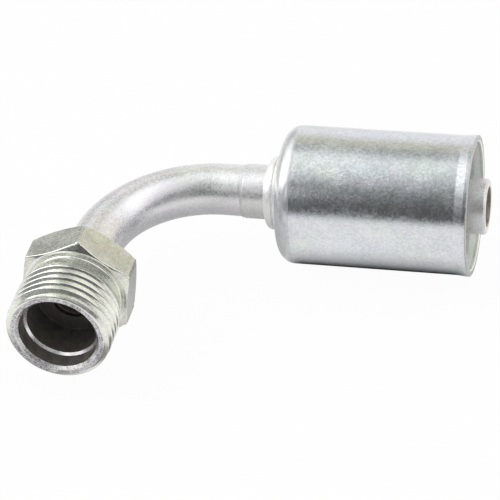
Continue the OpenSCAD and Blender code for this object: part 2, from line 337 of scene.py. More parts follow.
# ---------------------------------------------------------------------------
# Elbow tube
# Seamless steel tube bent cold round a former, which leaves it slightly oval
# in the bend, then dull zinc plated. One end is opened out for the stem.
# ---------------------------------------------------------------------------
BEND_RADIUS = 19.65 * MM
TUBE_WALL = 1.1 * MM
COUNTERBORE_RADIUS = 4.206 * MM
COUNTERBORE_DEPTH = 3.2 * MM
BEND_FLATTENING = 0.02      # how much the bend narrows the tube in its own plane
TUBE_COLUMNS = 120
TUBE_STEP = 0.5 * MM
TUBE_EDGE = 0.08 * MM
WELD_DISTANCE = 0.0005 * MM
PLATED = 0                  # skins: the places of a piece's finishes
# the skin of the bores, whose finishes carry painted light and shade
BORE_PAINTED = 1


def ring_mesh(name, rings):
    """A closed shell through rings of (point, edge) pairs, the last ring joined to the first.
    Each ring comes with the skin of the stretch that starts there, and its last point is its first."""
    shell = bmesh.new()
    edge_layer = shell.verts.layers.float.new("edge")
    rows = []
    for ring, skin in rings:
        row = []
        for point, edge in ring:
            vertex = shell.verts.new(point)
            vertex[edge_layer] = edge
            row.append(vertex)
        rows.append((row, skin))
    for index, (row, skin) in enumerate(rows):
        following = rows[(index + 1) % len(rows)][0]
        for column in range(len(row) - 1):
            face = shell.faces.new((row[column], row[column + 1], following[column + 1], following[column]))
            face.material_index = skin
            face.smooth = True
    bmesh.ops.remove_doubles(shell, verts=shell.verts, dist=WELD_DISTANCE)
    bmesh.ops.recalc_face_normals(shell, faces=shell.faces)
    mesh = bpy.data.meshes.new(name)
    shell.to_mesh(mesh)
    shell.free()
    piece = bpy.data.objects.new(name, mesh)
    bpy.context.scene.collection.objects.link(piece)
    return piece


tube_low, tube_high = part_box("elbow_tube")
tube_radius = tube_high.z
bend_start = hose_axis_y - BEND_RADIUS


def tube_ring(travel, radius, edge=0.0):
    """Ring of the tube at that distance along its middle line, from the nut's end."""
    angle = min(max(travel - straight_length, 0), bent_length) / BEND_RADIUS
    forward = Vector((math.sin(angle), math.cos(angle), 0))
    outward = Vector((-math.cos(angle), math.sin(angle), 0))
    middle = Vector((BEND_RADIUS, bend_start, 0)) + BEND_RADIUS * outward
    middle += forward * (min(travel - straight_length, 0) + max(travel - straight_length - bent_length, 0))
    in_plane = radius * (1 - BEND_FLATTENING * math.sin(2 * angle) ** 2)
    ring = []
    for column in range(TUBE_COLUMNS + 1):
        turn = math.tau * column / TUBE_COLUMNS
        point = middle + in_plane * math.cos(turn) * outward
        point.z += radius * math.sin(turn)
        ring.append((point, edge))
    return ring


straight_length = bend_start - tube_low.y
bent_length = BEND_RADIUS * math.pi / 2
tube_length = straight_length + bent_length + tube_high.x - BEND_RADIUS
bore_radius = tube_radius - TUBE_WALL
step_count = round(tube_length / TUBE_STEP)
travels = [tube_length * step / step_count for step in range(step_count + 1)]
step_back = tube_length - COUNTERBORE_DEPTH

tube_rings = [(tube_ring(travel, tube_radius), PLATED) for travel in travels[:-1]]
tube_rings += [
    (tube_ring(tube_length - TUBE_EDGE, tube_radius), PLATED),
    (tube_ring(tube_length, tube_radius - TUBE_EDGE, 1.0), PLATED),
    (tube_ring(tube_length, COUNTERBORE_RADIUS), BORE_PAINTED),
    (tube_ring(step_back, COUNTERBORE_RADIUS), BORE_PAINTED),
]
bore_travels = [step_back] + [travel for travel in reversed(travels) if travel <= step_back]
tube_rings += [(tube_ring(travel, bore_radius), BORE_PAINTED) for travel in bore_travels]
tube_piece = ring_mesh("bent_tube", tube_rings)


def shader_group(name, sockets_in, sockets_out):
    """An empty shader node group with those named sockets: its tree, entry and exit nodes."""
    group = bpy.data.node_groups.new(name, "ShaderNodeTree")
    for way, sockets in (("INPUT", sockets_in), ("OUTPUT", sockets_out)):
        for socket_name, kind in sockets:
            group.interface.new_socket(socket_name, in_out=way, socket_type="NodeSocket" + kind)
    return group, add(group, "NodeGroupInput"), add(group, "NodeGroupOutput")


def scaled(tree, vector, factor):
    """The vector times a number or socket."""
    inputs = {"Vector": vector, "Scale": factor}
    return add(tree, "ShaderNodeVectorMath", inputs, operation="SCALE").outputs["Vector"]


def noise(tree, vector, scale, detail=2.0, roughness=0.5, output="Fac"):
    """Noise at that scale."""
    inputs = {"Vector": vector, "Scale": scale, "Detail": detail, "Roughness": roughness}
    return add(tree, "ShaderNodeTexNoise", inputs).outputs[output]


def between(tree, factor, low, high):
    """low where the factor is 0 and high where it is 1; each is a number or a socket."""
    return add(tree, "ShaderNodeMapRange", {"Value": factor, "To Min": low, "To Max": high}).outputs[0]


GRAIN_SHARE = 0.70          # what the fine grain, the crystals and the clouds give to the tone
CRYSTAL_SHARE = 0.30
CLOUD_SHARE = 0.16
CLOUD_RANGE = (0.34, 0.66)  # the raw values that become 0 and 1
TONE_RANGE = (0.34, 0.78)
FILM_STOPS = [(0.30, (0.86, 0.94, 1.0)), (0.48, (0.97, 0.93, 1.0)), (0.72, (0.93, 1.0, 0.90))]

# Zinc plating: fine crystals that differ in gloss and tone, broad clouds, and
# the thin passivation film, whose tint wanders from blue through pink to green.
plating, given, result = shader_group(
    "zinc_plating",
    [("Position", "Vector"), ("Grain mm", "Float"), ("Cloud mm", "Float"),
     ("Light", "Color"), ("Dark", "Color"), ("Film", "Float"),
     ("Smooth", "Float"), ("Rough", "Float")],
    [("Color", "Color"), ("Roughness", "Float"), ("Height", "Float")],
)
in_mm = scaled(plating, given.outputs["Position"], 1 / MM)
in_grains = scaled(plating, in_mm, arithmetic(plating, "DIVIDE", 1.0, given.outputs["Grain mm"]))
in_clouds = scaled(plating, in_mm, arithmetic(plating, "DIVIDE", 1.0, given.outputs["Cloud mm"]))
bent_grains = vector_math(plating, "ADD", in_grains, noise(plating, in_grains, 1.3, output="Color"))
crystal = add(plating, "ShaderNodeTexVoronoi", {"Vector": bent_grains, "Scale": 1.0}, feature="F1")
crystal_tone = add(plating, "ShaderNodeSeparateColor", {"Color": crystal.outputs["Color"]})
fine_tone = noise(plating, in_grains, 2.2, 3.0, 0.65)
cloud_tone = ramp_between(plating, noise(plating, in_clouds, 1.0, 4.0, 0.6), *CLOUD_RANGE)
tone = product(plating, fine_tone, GRAIN_SHARE)
tone = arithmetic(plating, "MULTIPLY_ADD", crystal_tone.outputs[0], CRYSTAL_SHARE, tone)
tone = arithmetic(plating, "MULTIPLY_ADD", cloud_tone, CLOUD_SHARE, tone)
tone = ramp_between(plating, tone, *TONE_RANGE)
film = colour_ramp(plating, noise(plating, in_clouds, 0.55), FILM_STOPS)
metal = mix_colour(plating, tone, given.outputs["Dark"], given.outputs["Light"])
metal = mix_colour(plating, given.outputs["Film"], metal, film, "MULTIPLY")
plating.links.new(metal, result.inputs["Color"])
gloss = between(plating, tone, given.outputs["Smooth"], given.outputs["Rough"])
plating.links.new(gloss, result.inputs["Roughness"])
plating.links.new(fine_tone, result.inputs["Height"])

LINE_WAVER = 0.09           # how fast a tool mark changes as it runs round

# Tool marks: fine lines that run round an axis, stronger and weaker in places.
marks, given, result = shader_group(
    "tool_marks",
    [("Position", "Vector"), ("Centre", "Vector"), ("Axis", "Vector"), ("Lines per mm", "Float")],
    [("Mark", "Float")],
)
offset = vector_math(marks, "SUBTRACT", given.outputs["Position"], given.outputs["Centre"])
offset = scaled(marks, offset, 1 / MM)
along = vector_math(marks, "DOT_PRODUCT", offset, given.outputs["Axis"])
radial = vector_math(marks, "SUBTRACT", offset, scaled(marks, given.outputs["Axis"], along))
travel = arithmetic(marks, "ADD", along, vector_math(marks, "LENGTH", radial))
across = scaled(marks, given.outputs["Axis"], product(marks, travel, given.outputs["Lines per mm"]))
stretched = vector_math(marks, "ADD", across, scaled(marks, radial, LINE_WAVER))
marks.links.new(noise(marks, stretched, 1.0, 3.0, 0.7), result.inputs["Mark"])

HAIR_WIDTH = 0.006          # the half width of a hair scratch, as a share of the noise
SCRATCHED_RANGE = (0.52, 0.62)
RUBBED_RANGE = (0.30, 0.62)

# Handling: polish on the edges that rub, and sparse hair scratches.
handling, given, result = shader_group(
    "handling",
    [("Position", "Vector"), ("Edge", "Float"), ("Lay", "Vector")],
    [("Worn", "Float"), ("Scratch", "Float")],
)
in_mm = scaled(handling, given.outputs["Position"], 1 / MM)
patchy = ramp_between(handling, noise(handling, in_mm, 1.1, 4.0, 0.7), *RUBBED_RANGE)
handling.links.new(product(handling, given.outputs["Edge"], patchy), result.inputs["Worn"])
hair = noise(handling, vector_math(handling, "MULTIPLY", in_mm, given.outputs["Lay"]), 1.0)
hair = arithmetic(handling, "ABSOLUTE", arithmetic(handling, "SUBTRACT", hair, 0.5))
hair = ramp_between(handling, hair, HAIR_WIDTH, 0.0)
sparse = ramp_between(handling, noise(handling, in_mm, 0.22), *SCRATCHED_RANGE)
handling.links.new(product(handling, hair, sparse), result.inputs["Scratch"])


BUMP_DEPTH = 0.01 * MM
WORN_POLISH = 0.10          # how much smoother a fully worn edge is
STAIN_RANGE = (0.35, 0.65)
STAINED_ROUGHNESS = 0.36    # of bare steel where it is stained, and where it is not
UNSTAINED_ROUGHNESS = 0.50


def steel_surface(tree, colour, roughness, height, metallic):
    """The steel shader, from sockets for its colour, roughness and relief."""
    bump = add(tree, "ShaderNodeBump", {"Strength": 1.0, "Distance": BUMP_DEPTH, "Height": height})
    inputs = {"Base Color": colour, "Metallic": metallic, "Roughness": roughness, "Normal": bump.outputs[0]}
    steel = add(tree, "ShaderNodeBsdfPrincipled", inputs)
    add(tree, "ShaderNodeOutputMaterial", {"Surface": steel.outputs[0]})


def group_outputs(tree, group, values):
    """The outputs of the node group in a material, each input fed with the value of its name."""
    node = add(tree, "ShaderNodeGroup", node_tree=group)
    for socket in node.inputs:
        feed(tree, socket, values[socket.name])
    return node.outputs


def plated_finish(name, look):
    """Zinc-plated steel with its own grain, tool marks and wear."""
    paint = bpy.data.materials.new(name)
    tree = empty_tree(paint)
    values = {
        **look,
        "Position": add(tree, "ShaderNodeTexCoord").outputs["Object"],
        "Edge": add(tree, "ShaderNodeAttribute", attribute_name="edge").outputs["Fac"],
    }
    zinc, tool, wear = [group_outputs(tree, group, values) for group in (plating, marks, handling)]
    mark = tool["Mark"]
    worn = product(tree, wear["Worn"], look["Edge wear"])
    colour = mix_colour(tree, worn, zinc["Color"], look["Worn colour"])
    marked = between(tree, mark, 1 - look["Mark tone"], 1 + look["Mark tone"])
    colour = mix_colour(tree, 1.0, colour, marked, "MULTIPLY")
    roughness = arithmetic(tree, "MULTIPLY_ADD", mark, look["Mark roughness"], zinc["Roughness"])
    roughness = arithmetic(tree, "MULTIPLY_ADD", worn, -WORN_POLISH, roughness)
    height = product(tree, zinc["Height"], look["Grain height"])
    height = arithmetic(tree, "MULTIPLY_ADD", mark, look["Mark height"], height)
    height = arithmetic(tree, "MULTIPLY_ADD", wear["Scratch"], -look["Scratch height"], height)
    steel_surface(tree, colour, roughness, height, look["Metallic"])
    return paint


def painted_bore_finish(name, light, dark):
    """Dull brown-grey stained steel for a bore, in colours given as painted light and shade for how deep in
    the bore it lies.
    """
    paint = bpy.data.materials.new(name)
    tree = empty_tree(paint)
    place = add(tree, "ShaderNodeTexCoord").outputs["Object"]
    stain = ramp_between(tree, noise(tree, scaled(tree, place, 1 / MM), 0.8, 4.0, 0.6), *STAIN_RANGE)
    roughness = between(tree, stain, UNSTAINED_ROUGHNESS, STAINED_ROUGHNESS)
    steel_surface(tree, mix_colour(tree, stain, dark, light), roughness, stain, 0.0)
    return paint


ROUND_HOSE = {"Centre": (0.0, hose_axis_y, 0.0), "Axis": (1.0, 0.0, 0.0)}
# A lighter copy for the tube's deep bore: painted light, so the hole doesn't go black.
tube_bore_painted_light = painted_bore_finish("tube_bore_painted_light", (0.48, 0.42, 0.39), (0.36, 0.32, 0.30))
tube_zinc = plated_finish("tube_zinc", {
    "Grain mm": 0.30, "Cloud mm": 6.0, "Film": 0.35, "Metallic": 0.88,
    "Light": (0.84, 0.83, 0.84), "Dark": (0.71, 0.70, 0.71),
    "Smooth": 0.22, "Rough": 0.38,
    **ROUND_HOSE, "Lines per mm": 4.0, "Lay": (0.5, 7.0, 7.0),
    "Worn colour": (0.90, 0.89, 0.90), "Edge wear": 0.7,
    "Mark tone": 0.07, "Mark roughness": 0.05,
    "Grain height": 1.3, "Mark height": 1.3, "Scratch height": 0.6,
})
for finish in (tube_zinc, tube_bore_painted_light):
    tube_piece.data.materials.append(finish)
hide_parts("elbow_tube")
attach(tube_piece, "elbow")

# ---------------------------------------------------------------------------
# Seat sleeve
# Turned steel socket brazed to the tube's end inside the nut. It takes the
# mating pilot; its front face and lead-in cone show bright in the mouth.
# ---------------------------------------------------------------------------
PILOT_RADIUS = 6.4 * MM
SLEEVE_WEB = 0.9 * MM
PILOT_LEAD_IN = 0.42 * MM
SEAT_SHADE_LINE = 0.03 * MM       # a thin line of painted shade between the lead-in cone and the front face
SLEEVE_EDGE = 0.08 * MM
FACE_EDGE = 0.03 * MM
BACK_EDGE = 0.1 * MM
STOP_CORNER = 0.2 * MM
BRAZE_FILLET = 0.8 * MM
TURNED_COLUMNS = 180
FILLET_STEPS = 5
WIDE_FILLET = 1.0 * MM      # fillets from here on get more steps
WIDE_FILLET_STEPS = 20
RUBBED_FILLET = 0.5 * MM    # outer fillets below this are edges that rub
GUARD_SHARE = 0.3           # a row just past each fillet keeps the face beside it flat
GUARD_LENGTH = 0.05 * MM
STOP = 2                    # the place of the stop face's darker copy of bore steel, painted shade, on the sleeve


def rounded(corners, closed=True):
    """Points (along, radius, edge, skin) of an outline given as corners (along, radius, fillet, skin).
    Small outer fillets are marked as edges. An open outline keeps its two end corners sharp."""
    points = []
    count = len(corners)
    for index, (along, radius, fillet, skin) in enumerate(corners):
        at_end = not closed and index in (0, count - 1)
        if fillet == 0 or at_end:
            points.append((along, radius, 0.0, skin))
            continue
        corner = Vector((along, radius))
        before = Vector(corners[index - 1][:2]) - corner
        after = Vector(corners[(index + 1) % count][:2]) - corner
        half_angle = before.angle(after) / 2
        run = fillet / math.tan(half_angle)
        inward = (before.normalized() + after.normalized()).normalized()
        centre = corner + inward * fillet / math.sin(half_angle)
        start = corner + before.normalized() * run - centre
        sweep = math.pi - 2 * half_angle
        turned_in = before.x * after.y - before.y * after.x
        edge = 1.0 if turned_in > 0 and fillet < RUBBED_FILLET else 0.0
        steps = FILLET_STEPS if fillet < WIDE_FILLET else WIDE_FILLET_STEPS
        guard = min(GUARD_SHARE * fillet, GUARD_LENGTH)
        lead = corner + before.normalized() * (run + guard)
        points.append((lead.x, lead.y, 0.0, corners[index - 1][3]))
        for step in range(steps + 1):
            turn = Matrix.Rotation(sweep * step / steps * (-1 if turned_in > 0 else 1), 2)
            place = centre + turn @ start
            points.append((place.x, place.y, edge, skin))
        tail = corner + after.normalized() * (run + guard)
        points.append((tail.x, tail.y, 0.0, skin))
    return points


def round_nut_axis(along, radius, turn):
    """A point at that turn round the nut axis, from straight up towards the hose side."""
    return Vector((radius * math.sin(turn), along, radius * math.cos(turn)))


def round_hose_axis(along, radius, turn):
    """A point at that turn round the hose axis, from straight up towards the front."""
    return Vector((along, hose_axis_y - radius * math.sin(turn), radius * math.cos(turn)))


def turned_piece(name, outline, round_axis):
    """A shell of revolution from a closed outline."""
    rings = []
    for along, radius, edge, skin in outline:
        ring = []
        for column in range(TURNED_COLUMNS + 1):
            turn = math.tau * (column % TURNED_COLUMNS) / TURNED_COLUMNS
            ring.append((round_axis(along, radius, turn), edge))
        rings.append((ring, skin))
    return ring_mesh(name, rings)


sleeve_low, sleeve_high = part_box("seat_sleeve")
sleeve_front = sleeve_low.y
sleeve_back = sleeve_high.y
sleeve_radius = sleeve_high.z
sleeve_outline = rounded([
    (sleeve_front + PILOT_LEAD_IN, PILOT_RADIUS, SLEEVE_EDGE, PLATED),
    (sleeve_front, PILOT_RADIUS + PILOT_LEAD_IN, FACE_EDGE, BORE_PAINTED),
    (sleeve_front, PILOT_RADIUS + PILOT_LEAD_IN + SEAT_SHADE_LINE, 0, PLATED),
    (sleeve_front, sleeve_radius, FACE_EDGE, PLATED),
    (sleeve_back, sleeve_radius, BACK_EDGE, PLATED),
    (sleeve_back, tube_radius + BRAZE_FILLET, 0, BORE_PAINTED),
    (sleeve_back - BRAZE_FILLET, tube_radius, 0, BORE_PAINTED),
    (SLEEVE_WEB, tube_radius, 0, BORE_PAINTED),
    (SLEEVE_WEB, bore_radius, 0, BORE_PAINTED),
    (0, bore_radius, BACK_EDGE, STOP),
    (0, PILOT_RADIUS, STOP_CORNER, BORE_PAINTED),
])
sleeve_piece = turned_piece("pilot_sleeve", sleeve_outline, round_nut_axis)
ROUND_NUT = {"Centre": (0.0, 0.0, 0.0), "Axis": (0.0, 1.0, 0.0)}
turned_zinc = plated_finish("turned_zinc", {
    "Grain mm": 0.30, "Cloud mm": 3.0, "Film": 0.3, "Metallic": 0.9,
    "Light": (0.97, 0.95, 0.94), "Dark": (0.84, 0.83, 0.82),
    "Smooth": 0.14, "Rough": 0.28,
    **ROUND_NUT, "Lines per mm": 9.0, "Lay": (6.0, 0.5, 6.0),
    "Worn colour": (0.95, 0.94, 0.93), "Edge wear": 0.8,
    "Mark tone": 0.06, "Mark roughness": 0.10,
    "Grain height": 0.5, "Mark height": 0.8, "Scratch height": 0.4,
})
# Stained steel for the sleeve's and the nut's bores, darkened as painted shade.
bore_steel_painted_shade = painted_bore_finish("bore_steel_painted_shade", (0.180, 0.160, 0.145), (0.120, 0.108, 0.098))
# A still darker copy on the sleeve's stop face: painted shade deep in the mouth.
stop_face_painted_shade = painted_bore_finish("stop_face_painted_shade", (0.136, 0.122, 0.112), (0.104, 0.094, 0.086))
for finish in (turned_zinc, bore_steel_painted_shade, stop_face_painted_shade):
    sleeve_piece.data.materials.append(finish)
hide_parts("seat_sleeve")
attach(sleeve_piece, "elbow")

# ---------------------------------------------------------------------------
# Brazing
# Brazing metal under the zinc: a fillet that fills the sleeve's countersink
# round the tube, and a thin seam between the tube's end and the stem.
# ---------------------------------------------------------------------------
brazing = plated_finish("brazing", {
    "Grain mm": 0.25, "Cloud mm": 2.0, "Film": 0.2, "Metallic": 0.8,
    "Light": (0.77, 0.76, 0.76), "Dark": (0.63, 0.62, 0.62),
    "Smooth": 0.35, "Rough": 0.55,
    **ROUND_HOSE, "Lines per mm": 3.0, "Lay": (3.0, 3.0, 3.0),
    "Worn colour": (0.82, 0.80, 0.76), "Edge wear": 0.0,
    "Mark tone": 0.08, "Mark roughness": 0.05,
    "Grain height": 2.5, "Mark height": 0.5, "Scratch height": 0.0,
})
for braze in ("sleeve_braze", "stem_braze"):
    for material_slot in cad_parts[braze].material_slots:
        material_slot.material = brazing

# ---------------------------------------------------------------------------
# Hose stem
# Turned steel: a spigot inside the tube, a plain neck, a collar that the
# ferrule stands against, a land and bead that hold it, and the barbed tail.
# ---------------------------------------------------------------------------
STEM_BORE_RADIUS = 3.65 * MM
SPIGOT_RADIUS = 4.206 * MM
SPIGOT_LENGTH = 3.2 * MM
NECK_RADIUS = 5.05 * MM
NECK_LENGTH = 4.2 * MM
COLLAR_LENGTH = 2.8 * MM
COLLAR_ROUND = 1.4 * MM
NECK_FILLET = 0.2 * MM
COLLAR_GROOVE_WIDTH = 0.40 * MM
COLLAR_GROOVE_DEPTH = 0.13 * MM
COLLAR_RING = 0.84 * MM
GROOVE_SLOPE = 0.14 * MM
LAND_RADIUS = 5.8 * MM
LAND_LENGTH = 1.6 * MM
BEAD_RADIUS = 6.35 * MM
BEAD_LENGTH = 1.6 * MM
BEAD_ROUND = 0.45 * BEAD_LENGTH
TAIL_RADIUS = 5.11 * MM
BARB_COUNT = 4
BARB_PITCH = 5.2 * MM
BARB_HEIGHT = 0.55 * MM
BARB_CREST = 0.3 * MM
BARB_LENGTH = 0.6 * BARB_PITCH
BARB_START = 1.3 * MM
TIP_CHAMFER = 0.35 * MM
TIP_BORE_EDGE = 0.15 * MM
FINE_EDGE = 0.10 * MM
COLLARED = 2                # the place of the collar's finish on the stem

stem_low, stem_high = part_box("hose_stem")
stem_start = stem_low.x
tip = stem_high.x
collar_radius = stem_high.z
neck_start = stem_start + SPIGOT_LENGTH
collar_start = neck_start + NECK_LENGTH
collar_end = collar_start + COLLAR_LENGTH
bead_start = collar_end + LAND_LENGTH
tail_start = bead_start + BEAD_LENGTH
barb_radius = TAIL_RADIUS - BARB_HEIGHT
groove_end = collar_end - COLLAR_RING
groove_start = groove_end - COLLAR_GROOVE_WIDTH
groove_radius = collar_radius - COLLAR_GROOVE_DEPTH

stem_corners = [
    (stem_start, STEM_BORE_RADIUS, FINE_EDGE, BORE_PAINTED),
    (stem_start, SPIGOT_RADIUS, FINE_EDGE, BORE_PAINTED),
    (neck_start, SPIGOT_RADIUS, 0, PLATED),
    (neck_start, NECK_RADIUS, FINE_EDGE, PLATED),
    (collar_start, NECK_RADIUS, NECK_FILLET, COLLARED),
    (collar_start, collar_radius, COLLAR_ROUND, COLLARED),
    (groove_start, collar_radius, FINE_EDGE, COLLARED),
    (groove_start + GROOVE_SLOPE, groove_radius, FINE_EDGE, COLLARED),
    (groove_end - GROOVE_SLOPE, groove_radius, FINE_EDGE, COLLARED),
    (groove_end, collar_radius, FINE_EDGE, COLLARED),
    (collar_end, collar_radius, FINE_EDGE, COLLARED),
    (collar_end, LAND_RADIUS, 0, PLATED),
    (bead_start, LAND_RADIUS, 0, PLATED),
    (bead_start, BEAD_RADIUS, BEAD_ROUND, PLATED),
    (tail_start, BEAD_RADIUS, BEAD_ROUND, PLATED),
    (tail_start, barb_radius, FINE_EDGE, PLATED),
]
for barb in range(BARB_COUNT):
    barb_start = tail_start + BARB_START + barb * BARB_PITCH
    stem_corners += [
        (barb_start, barb_radius, 0, PLATED),
        (barb_start, TAIL_RADIUS, FINE_EDGE, PLATED),
        (barb_start + BARB_CREST, TAIL_RADIUS, FINE_EDGE, PLATED),
        (barb_start + BARB_LENGTH, barb_radius, FINE_EDGE, PLATED),
    ]
land_start = tail_start + BARB_START + BARB_COUNT * BARB_PITCH
stem_corners += [
    (land_start, barb_radius, 0, PLATED),
    (land_start, TAIL_RADIUS, FINE_EDGE, PLATED),
    (tip - TIP_CHAMFER, TAIL_RADIUS, FINE_EDGE, PLATED),
    (tip, TAIL_RADIUS - TIP_CHAMFER, FINE_EDGE, PLATED),
    (tip, STEM_BORE_RADIUS, TIP_BORE_EDGE, BORE_PAINTED),
]
stem_piece = turned_piece("barbed_stem", rounded(stem_corners), round_hose_axis)
stem_look = {
    "Grain mm": 0.30, "Cloud mm": 3.0, "Film": 0.3, "Metallic": 0.8,
    "Light": (0.83, 0.82, 0.82), "Dark": (0.67, 0.66, 0.66),
    "Smooth": 0.20, "Rough": 0.36,
    **ROUND_HOSE, "Lines per mm": 6.0, "Lay": (0.5, 6.0, 6.0),
    "Worn colour": (0.82, 0.81, 0.80), "Edge wear": 0.6,
    "Mark tone": 0.08, "Mark roughness": 0.12,
    "Grain height": 0.8, "Mark height": 1.6, "Scratch height": 0.4,
}
stem_zinc = plated_finish("stem_zinc", stem_look)
# Stained steel in the stem's bore, lightened as painted light for the deep passage.
passage_painted_light = painted_bore_finish("passage_painted_light", (0.58, 0.50, 0.45), (0.36, 0.30, 0.26))
collar_zinc = plated_finish("collar_zinc", {
    **stem_look,
    "Film": 0.2, "Metallic": 0.5,
    "Light": (0.97, 0.97, 0.95), "Dark": (0.85, 0.85, 0.83),
    "Smooth": 0.26, "Rough": 0.42,
    "Worn colour": (0.95, 0.94, 0.93), "Edge wear": 0.8,
    "Mark tone": 0.06, "Mark roughness": 0.10, "Mark height": 1.2,
})
for finish in (stem_zinc, passage_painted_light, collar_zinc):
    stem_piece.data.materials.append(finish)
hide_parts("hose_stem")
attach(stem_piece, "elbow")

# ---------------------------------------------------------------------------
# Ferrule
# Drawn steel shell, bright zinc plated over its spangled surface. Its round
# closed end turns on the stem's land and its open rim is slightly widened.
# ---------------------------------------------------------------------------
FERRULE_WALL = 1.2 * MM
FERRULE_ROUND = 2.9 * MM
SHOULDER_LENGTH = 1.1 * FERRULE_ROUND
FERRULE_HOLE_RADIUS = 5.87 * MM
FLARE = 0.15 * MM
FLARE_LENGTH = 2.3 * MM
FLARE_ROUND = 3.0 * MM
FLARE_END = 0.3 * FLARE_LENGTH      # the straight stretch at the rim, outside and inside
RIM_ROUND = 2.0 * MM
INNER_FLARE_LENGTH = 0.8 * FLARE_LENGTH
INNER_FLARE_ROUND = 1.0 * MM
RIM_EDGE = 0.22 * MM
INSIDE = 1                          # the places of its finishes after PLATED
SHOULDER = 2
RIM = 3

rim = ferrule_high.x
rim_radius = ferrule_high.z
shell_radius = rim_radius - FLARE
ferrule_corners = [
    (ferrule_low.x, FERRULE_HOLE_RADIUS, FINE_EDGE, SHOULDER),
    (ferrule_low.x, shell_radius, FERRULE_ROUND, SHOULDER),
    (ferrule_low.x + SHOULDER_LENGTH, shell_radius, 0, PLATED),
    (rim - FLARE_LENGTH, shell_radius, FLARE_ROUND, PLATED),
    (rim - FLARE_END, rim_radius, RIM_ROUND, PLATED),
    (rim, rim_radius, RIM_EDGE, RIM),
    (rim, rim_radius - FERRULE_WALL, RIM_EDGE, INSIDE),
    (rim - FLARE_END, rim_radius - FERRULE_WALL, INNER_FLARE_ROUND, INSIDE),
    (rim - INNER_FLARE_LENGTH, shell_radius - FERRULE_WALL, INNER_FLARE_ROUND, INSIDE),
    (ferrule_low.x + FERRULE_WALL, shell_radius - FERRULE_WALL, FERRULE_ROUND - FERRULE_WALL, INSIDE),
    (ferrule_low.x + FERRULE_WALL, FERRULE_HOLE_RADIUS, FINE_EDGE, INSIDE),
]
ferrule_piece = turned_piece("crimp_ferrule", rounded(ferrule_corners), round_hose_axis)
ferrule_look = {
    "Grain mm": 0.37, "Cloud mm": 4.5, "Film": 0.4, "Metallic": 1.0,
    "Light": (0.72, 0.73, 0.74), "Dark": (0.58, 0.60, 0.61),
    "Smooth": 0.04, "Rough": 0.20,
    **ROUND_HOSE, "Lines per mm": 2.0, "Lay": (0.35, 5.0, 5.0),
    "Worn colour": (0.58, 0.58, 0.58), "Edge wear": 0.8,
    "Mark tone": 0.02, "Mark roughness": 0.02,
    "Grain height": 2.0, "Mark height": 0.1, "Scratch height": 0.8,
}
ferrule_zinc = plated_finish("ferrule_zinc", ferrule_look)
shoulder_zinc = plated_finish("ferrule_shoulder", {
    **ferrule_look,
    "Metallic": 0.65,
    "Light": (0.69, 0.70, 0.71), "Dark": (0.57, 0.58, 0.59),
    "Smooth": 0.09, "Rough": 0.26,
    "Worn colour": (0.76, 0.76, 0.76), "Edge wear": 0.7,
    "Grain height": 1.6,
})
# Matt plating inside the shell; its light colour is painted light for the shaded inside.
inside_zinc_painted_light = plated_finish("ferrule_inside_painted_light", {
    "Grain mm": 0.40, "Cloud mm": 4.0, "Film": 0.6, "Metallic": 0.6,
    "Light": (0.96, 0.98, 0.93), "Dark": (0.84, 0.87, 0.81),
    "Smooth": 0.34, "Rough": 0.56,
    **ROUND_HOSE, "Lines per mm": 3.0, "Lay": (0.35, 5.0, 5.0),
    "Worn colour": (0.96, 0.96, 0.95), "Edge wear": 0.8,
    "Mark tone": 0.04, "Mark roughness": 0.04,
    "Grain height": 1.2, "Mark height": 0.4, "Scratch height": 0.5,
})
rim_zinc = plated_finish("ferrule_rim", {
    "Grain mm": 0.30, "Cloud mm": 3.0, "Film": 0.3, "Metallic": 0.7,
    "Light": (0.55, 0.55, 0.53), "Dark": (0.42, 0.42, 0.40),
    "Smooth": 0.26, "Rough": 0.46,
    **ROUND_HOSE, "Lines per mm": 5.0, "Lay": (3.0, 3.0, 3.0),
    "Worn colour": (0.58, 0.58, 0.57), "Edge wear": 0.7,
    "Mark tone": 0.06, "Mark roughness": 0.06,
    "Grain height": 0.9, "Mark height": 0.6, "Scratch height": 0.4,
})
for finish in (ferrule_zinc, inside_zinc_painted_light, shoulder_zinc, rim_zinc):
    ferrule_piece.data.materials.append(finish)
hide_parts("ferrule")
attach(ferrule_piece, "ferrule")

# ---------------------------------------------------------------------------
# Swivel nut
# Machined from hexagon bar and plated with a yellow-green tint. It carries
# the male thread, an undercut and the hexagon, and turns round the sleeve.
# ---------------------------------------------------------------------------
THREAD_RADIUS = 9.475 * MM
THREAD_PITCH = 1.5875 * MM
THREAD_FLANK = math.radians(30)     # of a flank to the plane square to the axis
THREAD_SOFTNESS = 0.08 * MM         # how far crests and roots are rounded
SOFT_LIMIT = 50                     # keeps the exponential in range
THREAD_START = math.radians(170)    # where the groove runs in through the mouth
THREAD_LEAD_IN = 0.95 * MM
THREAD_LIP_ROUND = 0.16 * MM
THREAD_LIP_STEP = 0.05 * MM
DULL_LIT_START = 0.1 * MM               # the first groove and the lead-in are duller, and lighter as painted light
DULL_LIT_LENGTH = 1.7 * MM
CREST_DEPTH = 0.22 * MM
RELIEF_WIDTH = 3.05 * MM
RELIEF_DEPTH = 0.12 * MM
RELIEF_FILLET = 0.35 * MM
HALF_SIDE = math.radians(30)        # from the middle of a flat to the hexagon's corner
ACROSS_FLATS = 19.05 * MM
HEX_LENGTH = 6.65 * MM
HEX_TURN = math.radians(8)
HEX_CORNER_ROUND = 0.6 * MM
FRONT_FACE_INSET = 0.12 * MM        # from the flats in to where the front chamfer starts
FRONT_CHAMFER = math.radians(33)
REAR_CHAMFER = 1.4 * MM
REAR_CHAMFER_ANGLE = math.radians(30)
HEX_EDGE = 0.09 * MM
NUT_BORE_RADIUS = 7.05 * MM
NUT_MOUTH_CHAMFER = 0.52 * MM
NUT_MOUTH_EDGE = 0.08 * MM
NUT_SHOULDER_EDGE = 0.05 * MM
NUT_CORNER = 0.1 * MM
